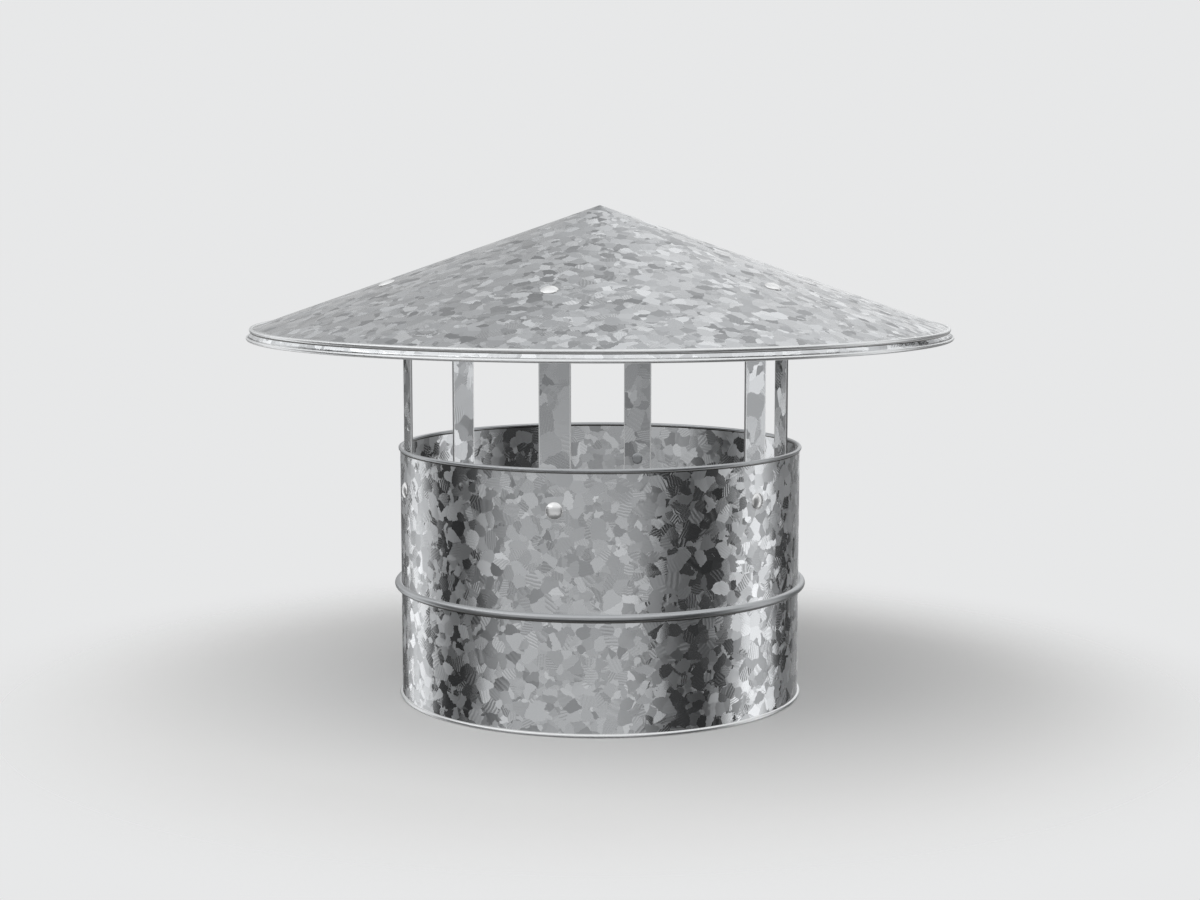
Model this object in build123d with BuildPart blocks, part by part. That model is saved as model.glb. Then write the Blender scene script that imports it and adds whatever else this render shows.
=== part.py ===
from build123d import *
import math
import os

# Chinese hat flue cap in galvanised sheet, riveted together. Millimetres, +Z up.
# The origin is on the flue axis, level with the lowest point of the pipe's rolled lower edge.
# The front faces -Y. Azimuths are in degrees from the front and grow towards +X.

# Sheet and edge wires
sheet_thickness = 0.5
edge_wire_diameter = 0.7
wire_play = 0.05  # all round an edge wire, inside the sheet that is rolled round it
curl_slit = 0.12  # between the end of a curl and the sheet that it closes on
seat_play = 0.05  # between pieces that are pressed or riveted together

# Where the curls end, in degrees round the edge wire from the outward direction, anticlockwise
pipe_top_curl_end = -45.0
pipe_bottom_curl_end = 90.0
cone_curl_end = 135.0  # from the downhill direction
band_curl_end = 180.0

# Flue pipe
pipe_diameter = 200.0  # over the wall
pipe_length = 125.5  # over both rolled edges

# Stop ring
ring_wire_diameter = 3.6
ring_height = 56.5  # of the wire's centre
ring_seat_depth = 0.3  # how far the wall is rolled in where the ring sits

# Straps
strap_count = 6
strap_width = 15.0
strap_thickness = 1.0
strap_bend_radius = 1.5  # inside the bend
strap_corner_radius = 3.0
strap_foot_margin = 9.9  # from the pipe rivet down to the strap's end
strap_tab_reach = 10.0  # from the upright, along the tab, to the hat rivet
strap_tab_margin = 8.0  # from the hat rivet out to the tab's end
first_strap_azimuth = -12.1

# Rivets
rivet_head_diameter = 8.2
rivet_head_height = 1.9
rivet_edge_radius = 0.9  # of the rounding at the rim of a head or tail
rivet_shank_diameter = 3.9
rivet_hole_diameter = 4.1
rivet_tail_diameter = 6.2
rivet_tail_height = 1.2
pipe_rivet_drop = 19.6  # below the pipe's upper edge

# Hat
hat_gap = 59.0  # from the pipe's upper edge to the top of the sheet at the cone's edge
cone_edge_radius = 172.16  # to the centre of the cone's rolled edge
cone_slope = 19.24  # degrees below the level
cone_tip_radius = 2.0
lap_width = 10.0
lap_margin = 30.0  # from the tip to the lap seam, along the slope
lap_end_margin = 2.5  # from the lap seam to the cone's rolled edge

# Drip band
band_drop = 4.1  # from the centre of the cone's rolled edge down to that of the band
band_flare = 1.55  # how much further out the band's rolled edge is
band_flange_width = 12.0
band_bend_radius = 0.5

# Sizes that follow
wire_hole_radius = edge_wire_diameter / 2 + wire_play
bead_radius = wire_hole_radius + sheet_thickness
pipe_outer_radius = pipe_diameter / 2
pipe_inner_radius = pipe_outer_radius - sheet_thickness
top_bead_centre = (pipe_outer_radius, pipe_length - bead_radius)
bottom_bead_centre = (pipe_inner_radius + bead_radius, bead_radius)  # flush inside, so the bore is clear

ring_seat_radius = ring_wire_diameter / 2 + seat_play
ring_centre_radius = pipe_outer_radius - ring_seat_depth + ring_seat_radius

# The straps stand just clear of the upper bead's inner side, where their corners come nearest to it.
strap_corner_reach = top_bead_centre[0] - bead_radius - seat_play
strap_outer_radius = math.sqrt(strap_corner_reach**2 - (strap_width / 2) ** 2)
strap_middle_radius = strap_outer_radius - strap_thickness / 2
strap_inner_radius = strap_outer_radius - strap_thickness
strap_azimuths = [first_strap_azimuth + turn * 360 / strap_count for turn in range(strap_count)]
lap_azimuth = 180 + first_strap_azimuth + 180 / strap_count

slope = math.radians(cone_slope)
downhill = Vector(math.cos(slope), -math.sin(slope))  # along the cone, outwards, as (radius, height)
outward = Vector(math.sin(slope), math.cos(slope))  # square to the cone, upwards
cone_edge = Vector(cone_edge_radius, pipe_length + hat_gap)
band_edge_centre = (cone_edge_radius + band_flare, cone_edge.Y - band_drop)


def cone_height(radius, depth=0.0):
    """Height, at a radius, of the surface that lies at a depth below the cone's outer face."""
    rise = (cone_edge_radius - radius) * math.tan(slope)
    return cone_edge.Y + rise - depth / math.cos(slope)


# A flat tab under a cone touches it along its edges, so its middle hangs a little lower.
cone_curve_radius = strap_middle_radius / math.sin(slope)
tab_sag = cone_curve_radius - math.sqrt(cone_curve_radius**2 - (strap_width / 2) ** 2)
tab_depth = sheet_thickness + tab_sag + seat_play + strap_thickness / 2  # of the tab's middle plane
tab_corner = Vector(strap_middle_radius, cone_height(strap_middle_radius, tab_depth))
pipe_rivet_height = pipe_length - pipe_rivet_drop
pipe_rivet_grip = pipe_outer_radius - strap_inner_radius
hat_rivet_grip = tab_depth + strap_thickness / 2


def radial_plane(azimuth):
    """Upright plane through the flue axis, with x outwards along the azimuth and y up."""
    turn = math.radians(azimuth - 90)
    out = (math.cos(turn), math.sin(turn), 0)
    across = (math.sin(turn), -math.cos(turn), 0)
    return Plane(origin=(0, 0, 0), x_dir=out, z_dir=across)


def face_plane(azimuth, point, normal):
    """Plane on a sheet's outer face: point and normal are given as (radius, height)."""
    side = radial_plane(azimuth)
    origin = side.from_local_coords((point.X, point.Y, 0))
    facing = side.x_dir * normal.X + side.y_dir * normal.Y
    return Plane(origin=origin, x_dir=side.z_dir, z_dir=facing)


def pipe_rivet_plane(azimuth):
    return face_plane(azimuth, Vector(pipe_outer_radius, pipe_rivet_height), Vector(1, 0))


def hat_rivet_plane(azimuth):
    seat = tab_corner + downhill * strap_tab_reach + outward * tab_depth
    return face_plane(azimuth, seat, outward)


def keep(name, piece):
    """Labels a finished piece and writes it under its name."""
    piece.part.label = name
    export_step(piece.part, f"parts/{name}.step")


def rolled_edge(centre, slit_direction):
    """Rolls the sheet being drawn round its edge wire: a ring, open at a slit where the curl ends."""
    with Locations(centre):
        Circle(bead_radius)
        Circle(wire_hole_radius, mode=Mode.SUBTRACT)
    with Locations(Location((centre[0], centre[1], 0), (0, 0, slit_direction))):
        Rectangle(2 * bead_radius, curl_slit, align=(Align.MIN, Align.CENTER), mode=Mode.SUBTRACT)


def wire_ring(name, centre, diameter):
    """Ring of round wire about the flue axis, with its centre given as (radius, height)."""
    with BuildPart() as ring:
        with BuildSketch(Plane.XZ):
            with Locations(centre):
                Circle(diameter / 2)
        revolve(axis=Axis.Z)
    keep(name, ring)


def rivet_holes(seats, depth):
    """Drills the piece being made at each rivet seat."""
    for seat in seats:
        with Locations(seat):
            Hole(rivet_hole_diameter / 2, depth)


def dome_arcs(base, radius, height, side):
    """Half outline of a dome that stands on a base height: a small arc at the rim, a wide one over the top."""
    reach = radius - rivet_edge_radius
    crown_radius = (reach**2 + height**2 - rivet_edge_radius**2) / (2 * (height - rivet_edge_radius))
    meeting = side * math.degrees(math.atan2(crown_radius - height, reach))
    CenterArc((reach, base), rivet_edge_radius, 0, meeting)
    CenterArc((0, base + side * (height - crown_radius)), crown_radius, meeting, side * 90 - meeting)


def rivet(name, seat, grip):
    """Solid rivet: domed head on the seat, shank through the grip, set tail behind it."""
    profile_plane = Plane(origin=seat.origin, x_dir=seat.x_dir, z_dir=-seat.y_dir)
    head_radius = rivet_head_diameter / 2
    shank_radius = rivet_shank_diameter / 2
    tail_radius = rivet_tail_diameter / 2
    with BuildPart() as piece:
        with BuildSketch(profile_plane):
            with BuildLine():
                dome_arcs(0, head_radius, rivet_head_height, 1)
                Polyline((head_radius, 0), (shank_radius, 0), (shank_radius, -grip), (tail_radius, -grip))
                dome_arcs(-grip, tail_radius, rivet_tail_height, -1)
                Line((0, -grip - rivet_tail_height), (0, rivet_head_height))
            make_face()
        revolve(axis=Axis(seat.origin, seat.z_dir))
    keep(name, piece)


def spigot_pipe():
    """Rolled tube: upper edge rolled on the wall's line, lower edge rolled outwards, seat for the ring."""
    seat_reach_out = ring_seat_radius
    seat_reach_in = ring_seat_radius + sheet_thickness
    half_out = math.sqrt(seat_reach_out**2 - (ring_centre_radius - pipe_outer_radius) ** 2)
    half_in = math.sqrt(seat_reach_in**2 - (ring_centre_radius - pipe_inner_radius) ** 2)
    bottom = bottom_bead_centre[1]
    top = top_bead_centre[1]
    with BuildPart() as pipe:
        with BuildSketch(Plane.XZ):
            with BuildLine():
                Line((pipe_outer_radius, bottom), (pipe_outer_radius, ring_height - half_out))
                ThreePointArc(
                    (pipe_outer_radius, ring_height - half_out),
                    (ring_centre_radius - seat_reach_out, ring_height),
                    (pipe_outer_radius, ring_height + half_out),
                )
                Polyline(
                    (pipe_outer_radius, ring_height + half_out),
                    (pipe_outer_radius, top),
                    (pipe_inner_radius, top),
                    (pipe_inner_radius, ring_height + half_in),
                )
                ThreePointArc(
                    (pipe_inner_radius, ring_height + half_in),
                    (ring_centre_radius - seat_reach_in, ring_height),
                    (pipe_inner_radius, ring_height - half_in),
                )
                Polyline(
                    (pipe_inner_radius, ring_height - half_in),
                    (pipe_inner_radius, bottom),
                    (pipe_outer_radius, bottom),
                )
            make_face()
            rolled_edge(top_bead_centre, pipe_top_curl_end)
            rolled_edge(bottom_bead_centre, pipe_bottom_curl_end)
        revolve(axis=Axis.Z)
        rivet_holes([pipe_rivet_plane(azimuth) for azimuth in strap_azimuths], pipe_rivet_grip)
    keep("spigot_pipe", pipe)


def strap(name, azimuth):
    """Flat strap: upright inside the pipe, bent out at the top into a tab that follows the cone."""
    side = radial_plane(azimuth)
    foot = (strap_middle_radius, pipe_rivet_height - strap_foot_margin)
    tab_end = tab_corner + downhill * (strap_tab_reach + strap_tab_margin)
    along_tab = side.x_dir * downhill.X + side.y_dir * downhill.Y
    through_tab = side.x_dir * outward.X + side.y_dir * outward.Y
    with BuildPart() as piece:
        with BuildSketch(side):
            with BuildLine():
                FilletPolyline(foot, tab_corner, tab_end, radius=strap_bend_radius + strap_thickness / 2)
            trace(line_width=strap_thickness)
        extrude(amount=strap_width / 2, both=True)
        foot_corners = piece.edges().filter_by(Axis((0, 0, 0), side.x_dir)).group_by(Axis.Z)[0]
        tab_edges = piece.edges().filter_by(Axis((0, 0, 0), through_tab))
        tab_corners = tab_edges.group_by(Axis((0, 0, 0), along_tab))[-1]
        fillet(foot_corners + tab_corners, strap_corner_radius)
        rivet_holes([pipe_rivet_plane(azimuth)], pipe_rivet_grip)
        rivet_holes([hat_rivet_plane(azimuth)], hat_rivet_grip)
    keep(name, piece)


def hat_cone():
    """Cone of sheet with a small round tip, a rolled edge, and a lap seam at the back."""
    tip_height = cone_height(0, cone_tip_radius)
    inner_tip_radius = cone_tip_radius - sheet_thickness
    tip_centre = Vector(0, tip_height)
    under_edge = cone_edge - outward * sheet_thickness
    lap_start = cone_edge - downhill * (cone_edge_radius / math.cos(slope) - lap_margin)
    lap_length = cone_edge_radius / math.cos(slope) - lap_margin - bead_radius - lap_end_margin
    side = radial_plane(lap_azimuth)
    lap_plane = Plane(
        origin=side.from_local_coords((lap_start.X, lap_start.Y, 0)),
        x_dir=side.z_dir,
        z_dir=side.x_dir * downhill.X + side.y_dir * downhill.Y,
    )
    with BuildPart() as cone:
        with BuildSketch(Plane.XZ):
            with BuildLine():
                CenterArc((0, tip_height), cone_tip_radius, 90 - cone_slope, cone_slope)
                Polyline(
                    tip_centre + outward * cone_tip_radius,
                    cone_edge,
                    under_edge,
                    tip_centre + outward * inner_tip_radius,
                )
                CenterArc((0, tip_height), inner_tip_radius, 90 - cone_slope, cone_slope)
                Line((0, tip_height + inner_tip_radius), (0, tip_height + cone_tip_radius))
            make_face()
            rolled_edge((cone_edge.X, cone_edge.Y), cone_curl_end - cone_slope)
        revolve(axis=Axis.Z)
        with BuildSketch(lap_plane):
            with BuildLine():
                Polyline(
                    (0, -sheet_thickness / 2),
                    (0, sheet_thickness),
                    (lap_width, 0),
                    (lap_width, -sheet_thickness / 2),
                    close=True,
                )
            make_face()
        extrude(amount=lap_length)
        rivet_holes([hat_rivet_plane(azimuth) for azimuth in strap_azimuths], hat_rivet_grip)
    keep("hat_cone", cone)


def drip_band():
    """Flared strip below the cone's edge: flange under the cone, bend, flare, rolled lower edge."""
    flange_depth = bead_radius + seat_play + sheet_thickness / 2
    bend = Vector(cone_edge_radius, cone_height(cone_edge_radius, flange_depth))
    flange_start = bend - downhill * band_flange_width
    with BuildPart() as band:
        with BuildSketch(Plane.XZ):
            with BuildLine():
                FilletPolyline(
                    flange_start,
                    bend,
                    band_edge_centre,
                    radius=band_bend_radius + sheet_thickness / 2,
                )
            trace(line_width=sheet_thickness)
            rolled_edge(band_edge_centre, band_curl_end)
        revolve(axis=Axis.Z)
    keep("drip_band", band)


os.makedirs("parts", exist_ok=True)

spigot_pipe()
wire_ring("pipe_top_wire", top_bead_centre, edge_wire_diameter)
wire_ring("pipe_bottom_wire", bottom_bead_centre, edge_wire_diameter)
wire_ring("stop_ring", (ring_centre_radius, ring_height), ring_wire_diameter)
hat_cone()
wire_ring("cone_edge_wire", (cone_edge.X, cone_edge.Y), edge_wire_diameter)
drip_band()
wire_ring("band_edge_wire", band_edge_centre, edge_wire_diameter)
for number, azimuth in enumerate(strap_azimuths, start=1):
    strap(f"strap_{number}", azimuth)
    rivet(f"pipe_rivet_{number}", pipe_rivet_plane(azimuth), pipe_rivet_grip)
    rivet(f"hat_rivet_{number}", hat_rivet_plane(azimuth), hat_rivet_grip)
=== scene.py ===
import math

import bmesh
import bpy
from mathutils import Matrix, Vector


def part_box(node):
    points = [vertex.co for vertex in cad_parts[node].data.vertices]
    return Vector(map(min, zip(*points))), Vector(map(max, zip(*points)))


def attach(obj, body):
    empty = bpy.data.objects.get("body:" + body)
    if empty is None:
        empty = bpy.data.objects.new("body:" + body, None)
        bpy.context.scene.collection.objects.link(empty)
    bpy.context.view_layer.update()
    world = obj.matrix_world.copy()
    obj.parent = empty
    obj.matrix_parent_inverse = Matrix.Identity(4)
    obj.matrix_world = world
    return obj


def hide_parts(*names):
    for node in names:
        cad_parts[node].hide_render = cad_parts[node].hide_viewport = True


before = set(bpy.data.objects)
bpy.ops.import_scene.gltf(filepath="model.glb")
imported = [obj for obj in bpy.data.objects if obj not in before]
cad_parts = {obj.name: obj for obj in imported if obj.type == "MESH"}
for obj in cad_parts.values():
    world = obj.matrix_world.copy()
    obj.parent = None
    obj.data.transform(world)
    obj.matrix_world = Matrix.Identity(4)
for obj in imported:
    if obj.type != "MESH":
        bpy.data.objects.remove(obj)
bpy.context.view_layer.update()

# Chinese hat flue cap. Metres, +Z up, front towards -Y; azimuths in degrees, from the front towards +X.
mm = 0.001

# Sheet and edge wires
sheet_thickness = 0.5 * mm
wire_radius = 0.35 * mm
curl_radius = 0.65 * mm  # of the sheet's middle, round an edge wire
curl_run = 1.7 * mm  # over which the sheet eases from its own line on to the curl
curl_gap = 0.05 * mm  # between the end of a curl and the sheet it closes on
curl_start_beside = -90.0  # angle at which a sheet whose line touches the curl's circle joins it
curl_start_over = -112.0  # the same for a sheet whose line crosses that circle
curl_step = 11.0
bead_radius = curl_radius + sheet_thickness / 2
seat_play = 0.05 * mm  # between pieces that lie against each other
weld_distance = 0.002 * mm  # points of a piece nearer than this become one
sharp_angle = 27.0  # between faces, in degrees, above which an edge isn't shaded smooth
on_axis = 0.01 * mm  # nearer to the flue axis than this, a point is put on it

# Marks of the making and of painted shade, held at each point for the finishes: 0 is plain sheet, 1 rolled, cut or
# hammered, above 1 also with shade painted on (the upper hem), and below 0 with shade painted dark in a crease or
# underside
plain_mark = 0.0
worked_mark = 1.0
shaded_hem_mark = 1.9  # the upper hem, rolled like the lower one, with shade painted on it as if the hat above shaded it
worked_fade = 0.3 * mm  # over which a rolled edge's mark ends
shade_reach = 0.32 * mm
cone_shade_reach = 0.24 * mm
band_shade_reach = 0.27 * mm
shade_fade = 0.12 * mm

# Pipe and stop ring, with their heights taken from the frame
pipe_low, pipe_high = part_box("spigot_pipe")
ring_low, ring_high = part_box("stop_ring")
pipe_radius = 100.0 * mm  # over the wall
wall_middle = pipe_radius - sheet_thickness / 2
top_bead = Vector((pipe_radius, pipe_high.z - bead_radius))
bottom_bead = Vector((wall_middle + curl_radius, pipe_low.z + bead_radius))
ring_radius = 1.8 * mm
ring_centre = Vector((101.55 * mm, (ring_low.z + ring_high.z) / 2))
ring_seat = ring_radius + seat_play
seat_lip = 0.08 * mm  # between the wall and the groove of the ring's seat
wall_rows = (1.0 * mm, 0.72 * mm, 0.1 * mm)  # depths below the ring of the wall's points round the shade painted under it
ring_shadow_depth = 0.41 * mm  # depth below the ring of the shadow painted on the wall under it
hem_shadow_spots = (Vector((0.0, -1.1 * mm)), Vector((-0.65 * mm, -0.75 * mm)))  # spots of shade painted under the hem, from the hem's centre

# Hat and drip band, with the band's height taken from the frame
band_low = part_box("drip_band")[0]
slope = math.radians(19.24)
cone_edge = Vector((172.16 * mm, 184.5 * mm))
band_edge = Vector((173.71 * mm, band_low.z + bead_radius))
tip_radius = 2.0 * mm
band_flange = 12.0 * mm
band_bend = 0.75 * mm  # radius of the bend, in the sheet's middle
band_shade_spot = Vector((0.15 * mm, 0.2 * mm))  # spot of shade painted under the cone's curl, from the band's corner
lap_width = 10.0 * mm
lap_start = 30.0 * mm  # from the tip, along the slope
lap_end = 3.4 * mm  # from the cone's edge
lap_azimuth = 197.9
lap_sunk = 0.15 * mm  # how far the lap goes into the cone's sheet
lap_edge = 0.14 * mm  # size of the worn corner where the lap ends
lap_rows = 40

# Straps and rivets
strap_count = 6
first_azimuth = -12.1
strap_middle = 98.266 * mm
strap_width = 15.0 * mm
strap_thickness = 1.0 * mm
strap_bend = 2.0 * mm
strap_corner = 3.0 * mm
strap_edge_wear = 0.3 * mm
strap_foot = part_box("strap_1")[0].z
strap_columns = (-1.0, -0.95, -0.92, -0.4, 0.0, 0.4, 0.92, 0.95, 1.0)  # points across, in half widths
strap_cut_edge = 0.93  # beyond this, in half widths, the strap shows its cut edge
tab_depth = 1.144 * mm
tab_length = 18.0 * mm
tab_reach = 10.0 * mm
rivet_head_radius = 4.1 * mm
rivet_head_height = 1.9 * mm
rivet_tail_radius = 3.1 * mm
rivet_tail_height = 1.2 * mm
rivet_edge = 0.9 * mm
rivet_shank = 1.95 * mm
# shade painted at a rivet head's rim: the height over which it fades, and how strong it is on each row
rivet_shade_height = 0.35 * mm
pipe_rivet_shade = 0.6
hat_rivet_shade = 0.9
pipe_grip = 2.234 * mm
hat_grip = 1.644 * mm
pipe_rivet_height = 105.9 * mm
wire_shade_growth = 2.0  # a wire's painted shade grows downwards by this much in a radius
wire_shade_delay = 0.6  # and is held back by this much

downhill = Vector((math.cos(slope), -math.sin(slope)))
outward = Vector((math.sin(slope), math.cos(slope)))
tab_drop = tab_depth / math.cos(slope)
tab_corner = Vector((strap_middle, cone_edge.y + (cone_edge.x - strap_middle) * math.tan(slope) - tab_drop))
hat_rivet_seat = tab_corner + downhill * tab_reach + outward * tab_depth
pipe_rivet_seat = Vector((pipe_radius, pipe_rivet_height))
turns_round = 336  # steps in a full turn of the large pieces
small_turns = 64  # and of a rivet
ring_sides = 28  # steps round the stop ring's wire
core_sides = 14  # and round an edge wire

# Colours
zinc_dark = (0.262, 0.27, 0.28, 1.0)
zinc_light = (0.86, 0.88, 0.90, 1.0)
bright_zinc = (0.82, 0.835, 0.845, 1.0)
grey_zinc = (0.42, 0.435, 0.45, 1.0)
plated = (0.90, 0.905, 0.91, 1.0)
# dark colour painted as shade in creases, under beads and wires and at rivet rims
painted_shade_colour = (0.07, 0.068, 0.065, 1.0)
white = (1.0, 1.0, 1.0, 1.0)
pale_backdrop = (0.80, 0.805, 0.81, 1.0)
pale_table = (0.84, 0.84, 0.835, 1.0)

# Zinc crystals
crystal_bend = (0.65, 0.65, 0.65)  # how far wide noise moves them, in crystal widths
crystal_fray = (0.20, 0.20, 0.20)  # how far finer noise moves their edges
small_crystals = 1.55  # to the width of a large one
whole_share = 0.75  # of the large crystals; small ones stand in for the others
line_pitch = 1.15 * mm  # of the ridges on a crystal
line_waver = 5.0
line_shade, line_sheen, line_tilt = 0.03, 0.08, 0.10  # of the ridges, in colour, roughness and normal

# Sheet: how much each thing counts
tone_spread = 0.4  # for every crystal
tone_extremes = 2.4  # for the few that stand out
haze_shade, grit_shade = 0.12, 0.05
shiny_crystal = 0.16  # least roughness
dull_crystal = 0.26  # roughness that the dullest crystals add
haze_sheen = 0.08
edge_roughness = 0.35
drawn_relief, buckle_relief, ripple_relief = 0.25, 6.0, 0.45

# Drawing marks, in noise cells for each metre
cells_across = 7000
cells_along = 12

# Wire and rivets
wire_tone, wire_haze_shade, wire_drawn_shade = 0.15, 0.3, 0.15
# how dark the shade painted on a wire's underside gets
wire_shade_strength = 0.95
wire_roughness, wire_haze_sheen = 0.38, 0.15
rivet_metallic = 0.85
rivet_haze_shade = 0.3
rivet_roughness, rivet_haze_sheen, hammered_sheen = 0.29, 0.08, 0.12

# Studio
floor_radius = 0.36
floor_rings, floor_spokes = 24, 96
floor_drop = 0.02 * mm
floor_fade = (0.55, 0.98)  # shares of its radius between which the floor fades into the backdrop
panel_radius = 2.2
panel_low, panel_high = -1.6, 1.5
outer_panel_high = 0.2  # of the first and last panels of the ring
low_panel_high = -0.33
ceiling_end = (0.5, 2.9)  # radius and height
ceiling_steps, ground_steps = 40, 24
ring_panels = [  # what the metal mirrors: azimuth where each panel starts, and its brightness
    (-172, 0.13),
    (-138, 1.08),
    (-114, 0.75),
    (-109, 0.40),
    (-104, 0.16),
    (-99, 0.04),
    (-80, 0.10),
    (-73, 0.20),
    (-67, 0.33),
    (-61, 0.46),
    (31, 0.05),
    (67, 0.12),
    (74, 0.24),
    (80, 0.50),
    (86, 0.82),
    (92, 1.08),
    (109, 0.75),
    (113, 0.04),
    (138, 0.35),
    (160, None),
]
extra_panels = [  # name, first and last azimuth, lower and upper edge, brightness, how far inside the ring
    ("studio_high", -108, 74, 0.95, panel_high, 1.05, 0.02),
    ("studio_high_left", -92, -38, 0.80, panel_high, 1.75, 0.04),
    ("studio_low_left", -138, -112, panel_low, low_panel_high, 1.30, 0.02),
    ("studio_low_front", -61, 31, panel_low, low_panel_high, 0.68, 0.02),
    ("studio_low_right", 86, 110, panel_low, low_panel_high, 1.20, 0.02),
    ("studio_straps_left", -152, -128, -0.14, 0.16, 0.08, 0.02),
    ("studio_back_left", -180, -135, 0.25, 2.6, 0.62, 0.0),
    ("studio_back_right", 135, 180, 0.25, 2.6, 0.98, 0.0),
]
soft_light = 0.48  # strength of the surroundings as light on the object
key_place, key_aim = (-0.35, -0.8, 1.9), (0.0, 0.0, 0.1)
key_width, key_height, key_power = 3.6, 2.2, 30.0

# Camera, fitted to the photograph's rims and rings
camera_place = (0.0, -1.0488, 0.2489)
camera_pitch = 6.891
camera_lens = 63.0
camera_sensor = 36.0
camera_clip = 0.02


class Value:
    """A number socket in a node tree: sums on it add their own maths nodes."""

    def __init__(self, bench, socket):
        self.bench = bench
        self.socket = socket

    def _sum(self, operation, *numbers):
        return self.bench.maths(operation, *numbers)

    def __add__(self, other):
        return self._sum("ADD", self, other)

    def __radd__(self, other):
        return self._sum("ADD", other, self)

    def __sub__(self, other):
        return self._sum("SUBTRACT", self, other)

    def __rsub__(self, other):
        return self._sum("SUBTRACT", other, self)

    def __mul__(self, other):
        return self._sum("MULTIPLY", self, other)

    def __truediv__(self, other):
        return self._sum("DIVIDE", self, other)

    def __neg__(self):
        return self._sum("MULTIPLY", self, -1.0)

    def minimum(self, other):
        return self._sum("MINIMUM", self, other)

    def maximum(self, other):
        return self._sum("MAXIMUM", self, other)

    def floor(self):
        return self._sum("FLOOR", self)

    def sine(self):
        return self._sum("SINE", self)

    def cosine(self):
        return self._sum("COSINE", self)

    def fade(self, start, end, low=0.0, high=1.0):
        """Goes smoothly from low to high as the value goes from start to end."""
        values = {"Value": self, "From Min": start, "From Max": end, "To Min": low, "To Max": high}
        return self.bench.node("ShaderNodeMapRange", {"interpolation_type": "SMOOTHSTEP"}, values)["Result"]


class Made:
    """A node just added, whose outputs are read by name."""

    def __init__(self, bench, node):
        self.bench = bench
        self.node = node

    def __getitem__(self, name):
        return Value(self.bench, find_socket(self.node.outputs, name))


def find_socket(sockets, name):
    if isinstance(name, int):
        return sockets[name]
    return next(socket for socket in sockets if socket.enabled and socket.name == name)


class Bench:
    """Adds nodes to one tree, for a material or for geometry."""

    def __init__(self, tree):
        self.tree = tree

    def node(self, kind, settings=None, values=None):
        node = self.tree.nodes.new(kind)
        for name, setting in (settings or {}).items():
            setattr(node, name, setting)
        for name, value in (values or {}).items():
            socket = find_socket(node.inputs, name)
            if isinstance(value, Value):
                self.tree.links.new(value.socket, socket)
            else:
                socket.default_value = value
        return Made(self, node)

    def maths(self, operation, *numbers):
        made = self.node("ShaderNodeMath", {"operation": operation}, dict(enumerate(numbers)))
        return made["Value"]

    def vector(self, operation, *vectors, output="Vector"):
        made = self.node("ShaderNodeVectorMath", {"operation": operation}, dict(enumerate(vectors)))
        return made[output]

    def stretch(self, vector, factor):
        made = self.node("ShaderNodeVectorMath", {"operation": "SCALE"}, {"Vector": vector, "Scale": factor})
        return made["Vector"]

    def parts(self, vector):
        made = self.node("ShaderNodeSeparateXYZ", {}, {"Vector": vector})
        return made["X"], made["Y"], made["Z"]

    def join(self, x, y, z):
        return self.node("ShaderNodeCombineXYZ", {}, {"X": x, "Y": y, "Z": z})["Vector"]

    def off_axis(self, place):
        """How far a place is from the flue axis, how far to the right, and its height."""
        x, y, z = self.parts(place)
        return self.vector("LENGTH", self.join(x, y, 0.0), output="Value"), x, z

    def blend(self, factor, first, second):
        """A colour between two others."""
        values = {"Factor": factor, "A": first, "B": second}
        return self.node("ShaderNodeMix", {"data_type": "RGBA"}, values)["Result"]

    def noise(self, vector, scale, detail=2.0, roughness=0.5):
        values = {"Vector": vector, "Scale": scale, "Detail": detail, "Roughness": roughness}
        return self.node("ShaderNodeTexNoise", {}, values)


# Finishes


def cleared_bench(owner):
    """The emptied node tree of a material or world, ready for new nodes."""
    owner.use_nodes = True
    owner.node_tree.nodes.clear()
    return Bench(owner.node_tree)


def new_finish(name):
    """An empty material, its bench and its surface shader."""
    finish = bpy.data.materials.new(name)
    bench = cleared_bench(finish)
    surface = bench.node("ShaderNodeBsdfPrincipled", {}, {"Metallic": 1.0})
    bench.node("ShaderNodeOutputMaterial", {}, {"Surface": surface["BSDF"]})
    return finish, bench, surface


def wire_up(bench, surface, **values):
    """Links what changes over the surface to the shader's sockets."""
    for name, value in values.items():
        bench.tree.links.new(value.socket, surface.node.inputs[name.replace("_", " ").title()])


def object_place(bench):
    return bench.node("ShaderNodeTexCoord")["Object"]


def marks_on(bench):
    """What the making left at a place, and the shade painted there: how far it is worked, the upper hem's painted
    shade, and the painted shade in a crease.
    """
    mark = bench.node("ShaderNodeAttribute", {"attribute_name": "mark"})["Fac"]
    return mark.maximum(0.0).minimum(1.0), (mark - 1).maximum(0.0), (-mark).maximum(0.0)


def drawn_lines(bench, place):
    """Fine marks that run round the flue axis, as a roller or die leaves them."""
    radius, x, z = bench.off_axis(place)
    cell = bench.join(radius * cells_across, z * cells_across, x * cells_along)
    return bench.noise(cell, scale=1.0)["Fac"]


def crystals(bench, spot):
    """Zinc crystals of mixed sizes: three random numbers for each, the same all over it."""
    drift = bench.noise(spot, scale=1.2, roughness=0.3)["Color"]
    ragged = bench.noise(spot, scale=4.5, detail=1.0)["Color"]
    bent = bench.vector("MULTIPLY_ADD", drift, crystal_bend, spot)
    bent = bench.vector("MULTIPLY_ADD", ragged, crystal_fray, bent)
    kind, settings = "ShaderNodeTexVoronoi", {"feature": "F1"}
    large = bench.node(kind, settings, {"Vector": bent, "Scale": 1.0})["Color"]
    small = bench.node(kind, settings, {"Vector": bent, "Scale": small_crystals})["Color"]
    broken = bench.parts(large)[2].fade(whole_share, whole_share + 0.01)
    return bench.blend(broken, large, small)


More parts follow.
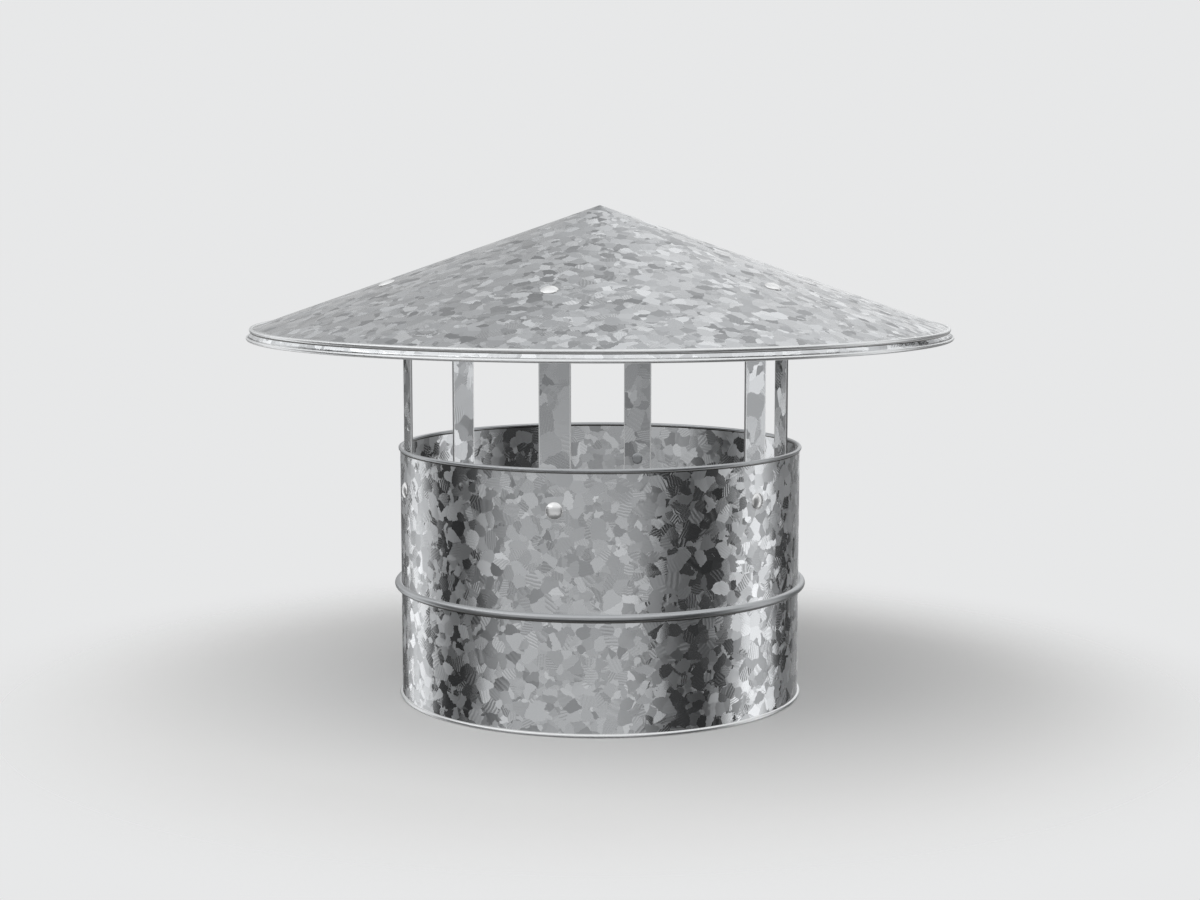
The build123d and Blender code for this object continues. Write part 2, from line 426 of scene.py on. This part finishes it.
def crystal_lines(bench, spot, cell, grain):
    """Fine ridges on some crystals, each set its own way: their height and the tilt they give."""
    turn = bench.stretch(cell, 2 * math.pi)
    kind = "ShaderNodeVectorRotate"
    turned = bench.node(kind, {"rotation_type": "EULER_XYZ"}, {"Vector": spot, "Rotation": turn})["Vector"]
    waver = bench.noise(turned, scale=1.4, detail=1.0)["Fac"] * line_waver
    phase = bench.parts(turned)[1] * (2 * math.pi * grain / line_pitch) + waver
    chosen = bench.parts(cell)[2].fade(0.15, 0.60)
    lined = chosen * bench.noise(spot, scale=0.5)["Fac"].fade(0.28, 0.50)
    values = {"Vector": (0.0, 1.0, 0.0), "Rotation": turn}
    way = bench.node(kind, {"rotation_type": "EULER_XYZ", "invert": True}, values)["Vector"]
    return phase.sine() * lined, bench.stretch(way, phase.cosine() * lined)


def galvanised_sheet(name, grain, shift, contrast, tone_mid, leaning):
    """Hot-dipped sheet with its zinc crystals, pale and satin where it is rolled over or cut."""
    finish, bench, surface = new_finish(name)
    place = object_place(bench)
    worked, painted_hem_shade, painted_shade = marks_on(bench)
    sheet = 1 - worked - painted_shade
    spot = bench.vector("MULTIPLY_ADD", place, (1 / grain,) * 3, shift)
    cell = crystals(bench, spot)
    ridges, ridge_tilt = crystal_lines(bench, spot, cell, grain)
    tone, dullness, _ = bench.parts(cell)
    off = tone - 0.5
    haze = bench.noise(place, scale=18.0)["Fac"] - 0.5
    grit = bench.noise(place, scale=1400.0)["Fac"] - 0.5
    patch = (off * tone_spread + off * off * off * tone_extremes) * contrast
    shade = tone_mid + patch + ridges * line_shade + haze * haze_shade + grit * grit_shade
    colour = bench.blend(shade, zinc_dark, zinc_light)
    colour = bench.blend(worked, colour, bright_zinc)
    # shade painted on the upper hem, as if under the hat
    colour = bench.blend(painted_hem_shade, colour, grey_zinc)
    # shade painted dark in the creases and under the beads
    colour = bench.blend(painted_shade, colour, painted_shade_colour)
    satin = shiny_crystal + dullness.fade(0.30, 0.80) * dull_crystal + ridges * line_sheen + haze * haze_sheen
    roughness = satin * sheet + (1 - sheet) * edge_roughness
    facing = bench.node("ShaderNodeNewGeometry")["Normal"]
    lean = bench.stretch(bench.vector("SUBTRACT", cell, (0.5, 0.5, 0.5)), sheet * leaning)
    facing = bench.vector("ADD", facing, lean)
    facing = bench.vector("ADD", facing, bench.stretch(ridge_tilt, sheet * line_tilt))
    facing = bench.vector("NORMALIZE", facing)
    drawn = drawn_lines(bench, place)
    buckle = bench.noise(place, scale=13.0, detail=1.0)["Fac"]
    ripple = bench.noise(place, scale=520.0)["Fac"]
    height = drawn * worked * drawn_relief + buckle * buckle_relief + ripple * sheet * ripple_relief
    values = {"Strength": 1.0, "Distance": 0.03 * mm, "Height": height, "Normal": facing}
    normal = bench.node("ShaderNodeBump", {}, values)["Normal"]
    wire_up(bench, surface, base_color=colour, roughness=roughness, normal=normal)
    return finish


def drawn_wire(name):
    """Smooth galvanised wire with faint drawing marks, and shade painted darker on its underside, where it sits
    against the sheet.
    """
    finish, bench, surface = new_finish(name)
    place = object_place(bench)
    _, _, painted_shade = marks_on(bench)
    haze = bench.noise(place, scale=45.0, detail=3.0)["Fac"] - 0.5
    drawn = drawn_lines(bench, place)
    shade = wire_tone + haze * wire_haze_shade + (drawn - 0.5) * wire_drawn_shade
    colour = bench.blend(shade, grey_zinc, bright_zinc)
    # shade painted dark on the wire's underside
    colour = bench.blend(painted_shade * wire_shade_strength, colour, painted_shade_colour)
    roughness = wire_roughness + haze * wire_haze_sheen
    bump = bench.node("ShaderNodeBump", {}, {"Strength": 0.5, "Distance": 0.01 * mm, "Height": drawn})
    wire_up(bench, surface, base_color=colour, roughness=roughness, normal=bump["Normal"])
    return finish


def rivet_metal(name):
    """Plated rivet, its head pressed smooth, its hammered end dull, with shade painted at the head's rim."""
    finish, bench, surface = new_finish(name)
    surface.node.inputs["Metallic"].default_value = rivet_metallic
    place = object_place(bench)
    worked, _, painted_shade = marks_on(bench)
    haze = bench.noise(place, scale=420.0)["Fac"]
    colour = bench.blend(haze.fade(0.35, 0.75, high=rivet_haze_shade), plated, bright_zinc)
    colour = bench.blend(worked, colour, grey_zinc)
    # shade painted dark at the head's rim
    colour = bench.blend(painted_shade, colour, painted_shade_colour)
    roughness = rivet_roughness + haze * rivet_haze_sheen + worked * hammered_sheen
    bump = bench.node("ShaderNodeBump", {}, {"Strength": 0.3, "Distance": 0.06 * mm, "Height": haze})
    wire_up(bench, surface, base_color=colour, roughness=roughness, normal=bump["Normal"])
    return finish


# Outlines, as points of (radius, height) in metres


def spread(start, end, count):
    """Numbers from start to end, in that many even steps."""
    return [start + (end - start) * step / count for step in range(count + 1)]


def line(start, end, count):
    return [start.lerp(end, place / count) for place in range(count + 1)]


def arc(centre, radius, start, end, step=12.0):
    """Points on an arc, from one angle to another, in degrees from the outward direction."""
    count = max(2, math.ceil(abs(end - start) / step) + 1)
    angles = [math.radians(angle) for angle in spread(start, end, count - 1)]
    return [centre + Vector((math.cos(angle), math.sin(angle))) * radius for angle in angles]


def easing(start, start_way, end, end_way, count=9, pull=0.4):
    """Points on a smooth curve from one point and direction to another."""
    reach = (end - start).length * pull
    first, second = start + start_way * reach, end - end_way * reach
    points = []
    for place in range(count + 1):
        t = place / count
        u = 1 - t
        points.append(start * u**3 + first * (3 * u * u * t) + second * (3 * u * t * t) + end * t**3)
    return points


def curl(centre, along, across, offset):
    """Middle line of a curl: the sheet runs along, offset from the wire, and closes on the across side."""
    face = offset + sheet_thickness / 2 + curl_gap
    inner = curl_radius - sheet_thickness / 2
    end = min(180 - math.degrees(math.asin(face / radius)) for radius in (inner, bead_radius))
    start = curl_start_beside if offset <= -curl_radius else curl_start_over

    def local(s, h):
        return centre + along * s + across * h

    def on_circle(angle):
        turn = math.radians(angle)
        return local(curl_radius * math.cos(turn), curl_radius * math.sin(turn))

    turn = math.radians(start)
    way = along * -math.sin(turn) + across * math.cos(turn)
    points = easing(local(-curl_run, offset), along, on_circle(start), way)
    steps = math.ceil((end - start) / curl_step)
    return points + [on_circle(angle) for angle in spread(start, end, steps)[1:]]


def sheet_outline(middle):
    """Closed outline of a sheet about its middle line."""
    left, right = [], []
    for place, point in enumerate(middle):
        before, after = middle[max(place - 1, 0)], middle[min(place + 1, len(middle) - 1)]
        way = (after - before).normalized()
        side = Vector((-way.y, way.x)) * (sheet_thickness / 2)
        left.append(point + side)
        right.append(point - side)
    return left + right[::-1] + left[:1]


# Geometry trees


def new_tree(name, inputs):
    """An empty geometry tree with named inputs, its bench and its input node."""
    tree = bpy.data.node_groups.new(name, "GeometryNodeTree")
    tree.interface.new_socket("Geometry", in_out="INPUT", socket_type="NodeSocketGeometry")
    for label, kind in inputs:
        tree.interface.new_socket(label, in_out="INPUT", socket_type=kind)
    tree.interface.new_socket("Geometry", in_out="OUTPUT", socket_type="NodeSocketGeometry")
    bench = Bench(tree)
    return tree, bench, bench.node("NodeGroupInput")


def close_tree(bench, geometry, finish):
    """Ends a geometry tree: the copies made real, then the finish set."""
    whole = bench.node("GeometryNodeRealizeInstances", {}, {"Geometry": geometry})["Geometry"]
    done = bench.node("GeometryNodeSetMaterial", {}, {"Geometry": whole, "Material": finish})["Geometry"]
    bench.node("NodeGroupOutput", {}, {"Geometry": done})


def revolve_tree():
    """Turns an outline, held as points at (radius, 0, height), about the upright axis."""
    inputs = [("Steps", "NodeSocketInt"), ("Finish", "NodeSocketMaterial")]
    tree, bench, given = new_tree("revolve outline", inputs)
    outline = given["Geometry"]
    per_row = given["Steps"] + 1
    count = bench.node("GeometryNodeAttributeDomainSize", {"component": "MESH"}, {"Geometry": outline})["Point Count"]
    grid = bench.node("GeometryNodeMeshGrid", {}, {"Vertices X": count, "Vertices Y": per_row})["Mesh"]
    index = bench.node("GeometryNodeInputIndex")["Index"]
    row = ((index + 0.5) / per_row).floor()
    column = index - row * per_row
    at = bench.node("GeometryNodeInputPosition")["Position"]
    picked = bench.node(
        "GeometryNodeSampleIndex",
        {"data_type": "FLOAT_VECTOR", "domain": "POINT"},
        {"Geometry": outline, "Value": at, "Index": row},
    )["Value"]
    radius, _, height = bench.parts(picked)
    angle = column * (2 * math.pi) / given["Steps"]
    place = bench.join(radius * angle.cosine(), radius * angle.sine(), height)
    shaped = bench.node("GeometryNodeSetPosition", {}, {"Geometry": grid, "Position": place})["Geometry"]
    held = bench.node("GeometryNodeInputNamedAttribute", {"data_type": "FLOAT"}, {"Name": "mark"})["Attribute"]
    mark = bench.node(
        "GeometryNodeSampleIndex",
        {"data_type": "FLOAT", "domain": "POINT"},
        {"Geometry": outline, "Value": held, "Index": row},
    )["Value"]
    marked = bench.node(
        "GeometryNodeStoreNamedAttribute",
        {"data_type": "FLOAT", "domain": "POINT"},
        {"Geometry": shaped, "Name": "mark", "Value": mark},
    )["Geometry"]
    closed = bench.node("GeometryNodeMergeByDistance", {}, {"Geometry": marked, "Distance": weld_distance})
    close_tree(bench, closed["Geometry"], given["Finish"])
    return tree


def round_flue_tree():
    """Sets a piece at its seat on the front, then repeats it round the flue axis."""
    inputs = [
        ("Count", "NodeSocketInt"),
        ("First azimuth", "NodeSocketFloat"),
        ("Seat radius", "NodeSocketFloat"),
        ("Seat height", "NodeSocketFloat"),
        ("Lean", "NodeSocketFloat"),
        ("Finish", "NodeSocketMaterial"),
    ]
    tree, bench, given = new_tree("repeat round flue", inputs)
    seated = bench.node(
        "GeometryNodeTransform",
        {},
        {
            "Geometry": given["Geometry"],
            "Translation": bench.join(0.0, -given["Seat radius"], given["Seat height"]),
            "Rotation": bench.join(given["Lean"], 0.0, 0.0),
        },
    )["Geometry"]
    spots = bench.node("GeometryNodePoints", {}, {"Count": given["Count"]})["Points"]
    index = bench.node("GeometryNodeInputIndex")["Index"]
    turn = given["First azimuth"] + index * (2 * math.pi) / given["Count"]
    copies = bench.node(
        "GeometryNodeInstanceOnPoints",
        {},
        {"Points": spots, "Instance": seated, "Rotation": bench.join(0.0, 0.0, turn)},
    )["Instances"]
    close_tree(bench, copies, given["Finish"])
    return tree


def add_tree(piece, tree, **values):
    """Adds a geometry tree to a piece, with its inputs set by their identifiers."""
    modifier = piece.modifiers.new(tree.name, "NODES")
    modifier.node_group = tree
    for item in tree.interface.items_tree:
        key = item.name.lower().replace(" ", "_")
        if item.in_out == "INPUT" and key in values:
            modifier[item.identifier] = values[key]


def repeat_piece(piece, seat, lean, finish):
    """Puts a piece at each strap's place round the flue."""
    add_tree(
        piece,
        repeat_round_flue,
        count=strap_count,
        first_azimuth=math.radians(first_azimuth),
        seat_radius=seat.x,
        seat_height=seat.y,
        lean=lean,
        finish=finish,
    )


# Making pieces


def new_object(name, points, faces):
    mesh = bpy.data.meshes.new(name)
    mesh.from_pydata(points, [], faces)
    made = bpy.data.objects.new(name, mesh)
    bpy.context.scene.collection.objects.link(made)
    return made


def new_piece(name, points, marks, faces=()):
    """A piece from its points, each with its mark of making or of painted shade."""
    piece = new_object(name, points, faces)
    piece.data.attributes.new("mark", "FLOAT", "POINT").data.foreach_set("value", marks)
    return piece


def outline_piece(name, outline, marks, steps, finish):
    """A piece from its outline, turned about the upright axis."""
    piece = new_piece(name, [(point.x, 0.0, point.y) for point in outline], marks)
    add_tree(piece, revolve_part, steps=steps, finish=finish)
    return piece


def finish_piece(piece, nodes):
    """Turns a piece's modifiers into a plain closed mesh that rides on the cap and stands for its nodes."""
    depsgraph = bpy.context.evaluated_depsgraph_get()
    mesh = bpy.data.meshes.new_from_object(piece.evaluated_get(depsgraph))
    piece.modifiers.clear()
    piece.data = mesh
    shell = bmesh.new()
    shell.from_mesh(mesh)
    bmesh.ops.remove_doubles(shell, verts=shell.verts, dist=weld_distance)
    bmesh.ops.recalc_face_normals(shell, faces=shell.faces)
    shell.to_mesh(mesh)
    shell.free()
    mesh.shade_smooth()
    mesh.set_sharp_from_angle(angle=math.radians(sharp_angle))
    piece.visible_glossy = False  # the metal mirrors the studio alone, as it does in the photograph
    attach(piece, "root")
    if nodes:
        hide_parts(*nodes)


def clamped(number):
    return max(0.0, min(1.0, number))


def near(point, places, reach, width):
    """One within reach of any of the places, fading to nothing over the width beyond it."""
    away = min((point - place).length for place in places) - reach
    return clamped(1 - away / width)


def sheet_marks(outline, beads, shade_spots, reach=shade_reach):
    """Marks on a sheet's outline: each bead's own mark, and shade painted dark in the creases."""
    marks = []
    for point in outline:
        worked = sum(near(point, [place], bead_radius, worked_fade) * mark for place, mark in beads)
        painted_shade = near(point, shade_spots, reach, shade_fade)
        marks.append(worked * (1 - painted_shade) - painted_shade)
    return marks


def spigot_pipe(finish):
    """Pipe wall from its lower curl, past the ring's seat, to its upper curl."""
    lower = curl(bottom_bead, Vector((0, -1)), Vector((1, 0)), -curl_radius)
    upper = curl(top_bead, Vector((0, 1)), Vector((1, 0)), wall_middle - pipe_radius)
    seat = ring_seat + sheet_thickness / 2
    half = math.degrees(math.acos((ring_centre.x - wall_middle) / seat))
    groove = arc(ring_centre, seat, 180 + half, 180 - half, step=7.0)
    lip = Vector((0, seat_lip))
    below_ring = [Vector((wall_middle, ring_centre.y - ring_radius - depth)) for depth in wall_rows]
    up_to_seat = line(lower[0], below_ring[0], count=6)[1:] + below_ring[1:] + [groove[0] - lip]
    up_to_curl = line(groove[-1] + lip, upper[0], count=6)[:-1]
    outline = sheet_outline(lower[::-1] + up_to_seat + groove + up_to_curl + upper)
    # shade painted on the wall under the upper hem and under the stop ring
    shade_spots = [top_bead + spot for spot in hem_shadow_spots]
    shade_spots.append(Vector((pipe_radius, ring_centre.y - ring_radius - ring_shadow_depth)))
    marks = sheet_marks(outline, [(top_bead, shaded_hem_mark), (bottom_bead, worked_mark)], shade_spots)
    piece = outline_piece("spigot_pipe_sheet", outline, marks, turns_round, finish)
    finish_piece(piece, ["spigot_pipe"])


def hat_cone(finish):
    """Cone from its rounded tip down to its curled edge."""
    depth = sheet_thickness / 2
    tip_height = cone_edge.y + cone_edge.x * math.tan(slope) - tip_radius / math.cos(slope)
    tip = arc(Vector((0, tip_height)), tip_radius - depth, 90, 90 - math.degrees(slope), step=4.0)
    edge = curl(cone_edge, downhill, outward, -depth)
    outline = sheet_outline(tip + line(tip[-1], edge[0], count=24)[1:-1] + edge)
    for point in outline:
        if point.x < on_axis:
            point.x = 0.0
    # shade painted under the cone's curl, where it meets the drip band
    painted_shade = cone_edge - Vector((0, bead_radius))
    marks = sheet_marks(outline, [(cone_edge, worked_mark)], [painted_shade], cone_shade_reach)
    piece = outline_piece("hat_cone_sheet", outline, marks, turns_round, finish)
    finish_piece(piece, ["hat_cone"])


def drip_band(finish):
    """Flared strip: flange under the cone, bend, flare, curled lower edge."""
    depth = bead_radius + seat_play + sheet_thickness / 2
    corner = cone_edge - Vector((0, depth / math.cos(slope)))
    flare = (band_edge - corner).normalized()
    side = Vector((-flare.y, flare.x))
    turn = abs(downhill.angle_signed(flare))
    centre = corner - downhill * (band_bend * math.tan(turn / 2)) - outward * band_bend
    start = 90 - math.degrees(slope)
    bend = arc(centre, band_bend, start, start - math.degrees(turn), step=9.0)
    flange = line(corner - downhill * band_flange, bend[0], count=5)[:-1]
    outline = sheet_outline(flange + bend + curl(band_edge, flare, side, 0.0))
    # shade painted at the band's bend, under the cone's curl
    marks = sheet_marks(outline, [(band_edge, worked_mark)], [corner + band_shade_spot], band_shade_reach)
    piece = outline_piece("drip_band_sheet", outline, marks, turns_round, finish)
    finish_piece(piece, ["drip_band"])


def wire_ring(name, centre, radius, finish, node, sides=core_sides):
    """Ring of round wire, with shade painted darker towards its underside."""
    outline = arc(centre, radius, 0, 360, step=360 / sides)
    depths = [(centre.y - point.y) / radius for point in outline]
    # painted shade, darker towards the wire's underside
    marks = [-clamped(depth * wire_shade_growth - wire_shade_delay) for depth in depths]
    piece = outline_piece(name, outline, marks, turns_round, finish)
    finish_piece(piece, [node])


def dome(radius, height, base, side):
    """Half outline of a rivet's dome, from its rim to the middle."""
    reach = radius - rivet_edge
    crown = (reach**2 + height**2 - rivet_edge**2) / (2 * (height - rivet_edge))
    meeting = math.degrees(math.atan2(crown - height, reach))
    rim = arc(Vector((reach, base)), rivet_edge, 0, side * meeting)
    top = arc(Vector((0, base + side * (height - crown))), crown, side * meeting, side * 90, step=5.0)
    return rim + top[1:]


def numbered(kind):
    """Names of the CAD nodes of one kind, one at each strap."""
    return [f"{kind}_{number}" for number in range(1, strap_count + 1)]


def rivets(kind, grip, seat, lean, rim_shade, finish):
    """A row of rivets: one is turned from its outline, then repeated round the flue."""
    head = dome(rivet_head_radius, rivet_head_height, 0.0, 1)
    tail = dome(rivet_tail_radius, rivet_tail_height, -grip, -1)
    shank = [Vector((rivet_shank, 0.0)), Vector((rivet_shank, -grip))]
    outline = head[::-1] + shank + tail
    outline[0].x = outline[-1].x = 0.0
    marks = []
    for point in outline:
        # shade painted on the head, darkest at its rim against the sheet
        painted_rim_shade = rim_shade * max(0.0, 1 - point.y / rivet_shade_height)
        marks.append(-painted_rim_shade if point.y >= 0 else worked_mark)
    piece = outline_piece(f"{kind}s", outline, marks, small_turns, finish)
    repeat_piece(piece, seat, lean, finish)
    finish_piece(piece, numbered(kind))


def strap_path():
    """Middle line of a strap: up inside the pipe, round the bend, out under the cone."""
    turn = math.pi / 2 + slope
    centre = tab_corner + Vector((strap_bend, -strap_bend * math.tan(turn / 2)))
    bend = arc(centre, strap_bend, 180, 180 - math.degrees(turn), step=8.0)
    foot = Vector((strap_middle, strap_foot))
    tab = tab_corner + downhill * tab_length
    rounds = [strap_corner * (1 - math.cos(math.radians(angle))) for angle in range(0, 91, 10)]
    start = [foot + Vector((0, distance)) for distance in rounds]
    end = [tab - downhill * distance for distance in rounds[::-1]]
    upright = line(start[-1], bend[0], count=10)[1:-1]
    under_cone = line(bend[-1], end[0], count=3)[1:-1]
    return start + upright + bend + under_cone + end


def strap_piece():
    """One flat strap with rounded ends, bent to its path, still without thickness."""
    path = strap_path()
    walked = [0.0]
    for before, after in zip(path, path[1:]):
        walked.append(walked[-1] + (after - before).length)
    points, marks = [], []
    for point, distance in zip(path, walked):
        end = min(distance, walked[-1] - distance, strap_corner)
        half = strap_width / 2 - strap_corner + math.sqrt(max(0.0, strap_corner**2 - (strap_corner - end) ** 2))
        for share in strap_columns:
            points.append((half * share, -point.x, point.y))
            marks.append(worked_mark if abs(share) > strap_cut_edge else plain_mark)
    wide = len(strap_columns)
    faces = []
    for row in range(len(path) - 1):
        for column in range(wide - 1):
            corner = row * wide + column
            faces.append((corner, corner + 1, corner + wide + 1, corner + wide))
    return new_piece("hat_straps", points, marks, faces)


def straps(finish):
    """The straps: one is given its thickness and worn edges, then repeated round the flue."""
    piece = strap_piece()
    solid = piece.modifiers.new("thickness", "SOLIDIFY")
    solid.thickness = strap_thickness
    solid.offset = 0.0
    solid.use_even_offset = True
    worn = piece.modifiers.new("worn edges", "BEVEL")
    worn.width = strap_edge_wear
    worn.segments = 3
    worn.limit_method = "ANGLE"
    worn.angle_limit = math.radians(50)
    repeat_piece(piece, Vector((0.0, 0.0)), 0.0, finish)
    finish_piece(piece, numbered("strap"))


def lap_seam(finish):
    """The cone's overlapping edge at the back: proud where it ends, flush where it comes out of the sheet."""
    section = [
        (0.0, -lap_sunk),
        (0.0, sheet_thickness - lap_edge),
        (lap_edge * 0.3, sheet_thickness - lap_edge * 0.3),
        (lap_edge, sheet_thickness),
        (lap_width * 0.5, sheet_thickness * 0.5),
        (lap_width, 0.0),
        (lap_width, -lap_sunk),
    ]
    full = cone_edge.x / math.cos(slope)
    apex = cone_edge - downhill * full
    points = []
    for distance in spread(lap_start, full - lap_end, lap_rows):
        for aside, height in section:
            spot = apex + downhill * distance + outward * height
            turn = math.radians(lap_azimuth) + aside / spot.x
            points.append((spot.x * math.sin(turn), -spot.x * math.cos(turn), spot.y))
    wide = len(section)
    faces = [tuple(range(wide)), tuple(range(lap_rows * wide, (lap_rows + 1) * wide))[::-1]]
    for row in range(lap_rows):
        here, there = row * wide, (row + 1) * wide
        for column in range(wide):
            after = (column + 1) % wide
            faces.append((here + column, here + after, there + after, there + column))
    piece = new_piece("hat_cone_lap", points, [plain_mark] * len(points), faces)
    piece.data.materials.append(finish)
    finish_piece(piece, [])


# Studio


def studio_floor():
    """Round pale table top that fades into the backdrop, so that it carries the shadow."""
    points = [(0.0, 0.0, 0.0)]
    for ring in range(1, floor_rings + 1):
        radius = floor_radius * ring / floor_rings
        for step in range(floor_spokes):
            turn = 2 * math.pi * step / floor_spokes
            points.append((radius * math.cos(turn), radius * math.sin(turn), 0.0))
    faces = [(0, 1 + step, 1 + (step + 1) % floor_spokes) for step in range(floor_spokes)]
    for ring in range(1, floor_rings):
        inner = 1 + (ring - 1) * floor_spokes
        outer = inner + floor_spokes
        for step in range(floor_spokes):
            after = (step + 1) % floor_spokes
            faces.append((inner + step, outer + step, outer + after, inner + after))
    floor = new_object("studio_floor", points, faces)
    floor.location.z = -floor_drop
    finish, bench, surface = new_finish("pale_table")
    surface.node.inputs["Metallic"].default_value = 0.0
    surface.node.inputs["Base Color"].default_value = pale_table
    surface.node.inputs["Roughness"].default_value = 0.9
    surface.node.inputs["Specular IOR Level"].default_value = 0.0
    away, _, _ = bench.off_axis(object_place(bench))
    fade_start, fade_end = floor_fade
    wire_up(bench, surface, alpha=away.fade(floor_radius * fade_start, floor_radius * fade_end, 1.0, 0.0))
    floor.data.materials.append(finish)
    floor.visible_glossy = False


def glow(name, shade):
    finish = bpy.data.materials.new(name)
    bench = cleared_bench(finish)
    light = bench.node("ShaderNodeEmission", {}, {"Color": white, "Strength": shade})
    bench.node("ShaderNodeOutputMaterial", {}, {"Surface": light["Emission"]})
    return finish


def stage_panel(name, points, faces, shade):
    """Plain studio panel that only the metal mirrors."""
    panel = new_object(name, points, faces)
    panel.data.materials.append(glow(name, shade))
    panel.visible_camera = False
    panel.visible_diffuse = False
    panel.visible_shadow = False


def around(azimuth, radius, height):
    turn = math.radians(azimuth)
    return (radius * math.sin(turn), -radius * math.cos(turn), height)


def strip_faces(count):
    """Faces of a strip whose points come in pairs."""
    return [(2 * step, 2 * step + 1, 2 * step + 3, 2 * step + 2) for step in range(count)]


def wall_panel(name, start, end, low, high, shade, forward=0.0):
    """Upright panel, curved about the object, at the panels' radius or that far inside it."""
    count = max(2, math.ceil((end - start) / 4))
    turns = spread(start, end, count)
    points = [around(turn, panel_radius - forward, height) for turn in turns for height in (low, high)]
    stage_panel(name, points, strip_faces(count), shade)


def ceiling_panel(name, start, end, shade):
    """Sloping panel over the front, from the upright panels' tops inwards."""
    turns = spread(start, end, ceiling_steps)
    points = [around(turn, *spot) for turn in turns for spot in ((panel_radius, panel_high), ceiling_end)]
    stage_panel(name, points, strip_faces(ceiling_steps), shade)


def ground_panel(name, start, end, shade):
    """Half of the ground under the studio: dark in front, which keeps the undersides dark, pale behind."""
    points = [around(turn, panel_radius, panel_low) for turn in spread(start, end, ground_steps)]
    stage_panel(name, points, [tuple(range(ground_steps + 1))], shade)


def studio_panels():
    """Everything that the metal mirrors."""
    last = len(ring_panels) - 1
    for number, ((start, shade), (end, _)) in enumerate(zip(ring_panels, ring_panels[1:]), 1):
        top = outer_panel_high if number in (1, last) else panel_high
        wall_panel(f"studio_panel_{number}", start, end, panel_low, top, shade)
    for panel in extra_panels:
        wall_panel(*panel)
    ceiling_panel("studio_ceiling", -110, 110, 1.02)
    ground_panel("studio_ground_front", -90, 90, 0.05)
    ground_panel("studio_ground_back", 90, 270, 0.40)


def studio_world():
    """Pale surroundings, seen as they are by the camera and by the metal, softer as light on the floor."""
    world = bpy.data.worlds.new("pale_studio")
    bpy.context.scene.world = world
    bench = cleared_bench(world)
    path = bench.node("ShaderNodeLightPath")
    seen = (path["Is Camera Ray"] + path["Is Glossy Ray"] + path["Is Transmission Ray"]).minimum(1.0)
    pale = bench.node("ShaderNodeBackground", {}, {"Color": pale_backdrop, "Strength": 1.0})
    soft = bench.node("ShaderNodeBackground", {}, {"Color": white, "Strength": soft_light})
    both = bench.node("ShaderNodeMixShader", {}, {"Fac": seen, 1: soft["Background"], 2: pale["Background"]})
    bench.node("ShaderNodeOutputWorld", {}, {"Surface": both["Shader"]})


def key_light():
    """Wide soft lamp above the front, which the metal doesn't mirror."""
    light = bpy.data.lights.new("key_light", "AREA")
    light.shape = "RECTANGLE"
    light.size = key_width
    light.size_y = key_height
    light.energy = key_power
    lamp = bpy.data.objects.new("key_light", light)
    bpy.context.scene.collection.objects.link(lamp)
    lamp.location = key_place
    lamp.rotation_euler = (Vector(key_aim) - Vector(key_place)).to_track_quat("-Z", "Y").to_euler()
    lamp.visible_glossy = False


def studio_camera():
    camera = bpy.data.cameras.new("camera")
    camera.lens = camera_lens
    camera.sensor_width = camera_sensor
    camera.clip_start = camera_clip
    holder = bpy.data.objects.new("camera", camera)
    bpy.context.scene.collection.objects.link(holder)
    holder.location = camera_place
    holder.rotation_euler = (math.radians(90 - camera_pitch), 0.0, 0.0)
    bpy.context.scene.camera = holder


revolve_part = revolve_tree()
repeat_round_flue = round_flue_tree()

pipe_finish = galvanised_sheet(
    "pipe_zinc", grain=5.6 * mm, shift=(0.0, 0.0, 0.0), contrast=0.60, tone_mid=0.60, leaning=0.18
)
hat_finish = galvanised_sheet(
    "hat_zinc", grain=5.5 * mm, shift=(4.0, 2.0, 1.0), contrast=0.80, tone_mid=0.44, leaning=0.11
)
band_finish = galvanised_sheet(
    "band_zinc", grain=5.5 * mm, shift=(9.0, 5.0, 3.0), contrast=0.6, tone_mid=0.80, leaning=0.10
)
lap_finish = galvanised_sheet(
    "lap_zinc", grain=5.5 * mm, shift=(14.0, 8.0, 5.0), contrast=0.80, tone_mid=0.44, leaning=0.11
)
strap_finish = galvanised_sheet(
    "strap_zinc", grain=9.0 * mm, shift=(1.0, 6.0, 8.0), contrast=0.7, tone_mid=0.46, leaning=0.18
)
wire_finish = drawn_wire("ring_wire")
rivet_finish = rivet_metal("rivet_metal")

spigot_pipe(pipe_finish)
hat_cone(hat_finish)
lap_seam(lap_finish)
drip_band(band_finish)
wire_ring("stop_ring_wire", ring_centre, ring_radius, wire_finish, "stop_ring", ring_sides)
wire_ring("pipe_top_core", top_bead, wire_radius, wire_finish, "pipe_top_wire")
wire_ring("pipe_bottom_core", bottom_bead, wire_radius, wire_finish, "pipe_bottom_wire")
wire_ring("cone_edge_core", cone_edge, wire_radius, wire_finish, "cone_edge_wire")
wire_ring("band_edge_core", band_edge, wire_radius, wire_finish, "band_edge_wire")
straps(strap_finish)
rivets("pipe_rivet", pipe_grip, pipe_rivet_seat, math.pi / 2, pipe_rivet_shade, rivet_finish)
rivets("hat_rivet", hat_grip, hat_rivet_seat, slope, hat_rivet_shade, rivet_finish)

studio_floor()
studio_world()
studio_panels()
key_light()
studio_camera()

view = bpy.context.scene.view_settings
view.view_transform = "Standard"
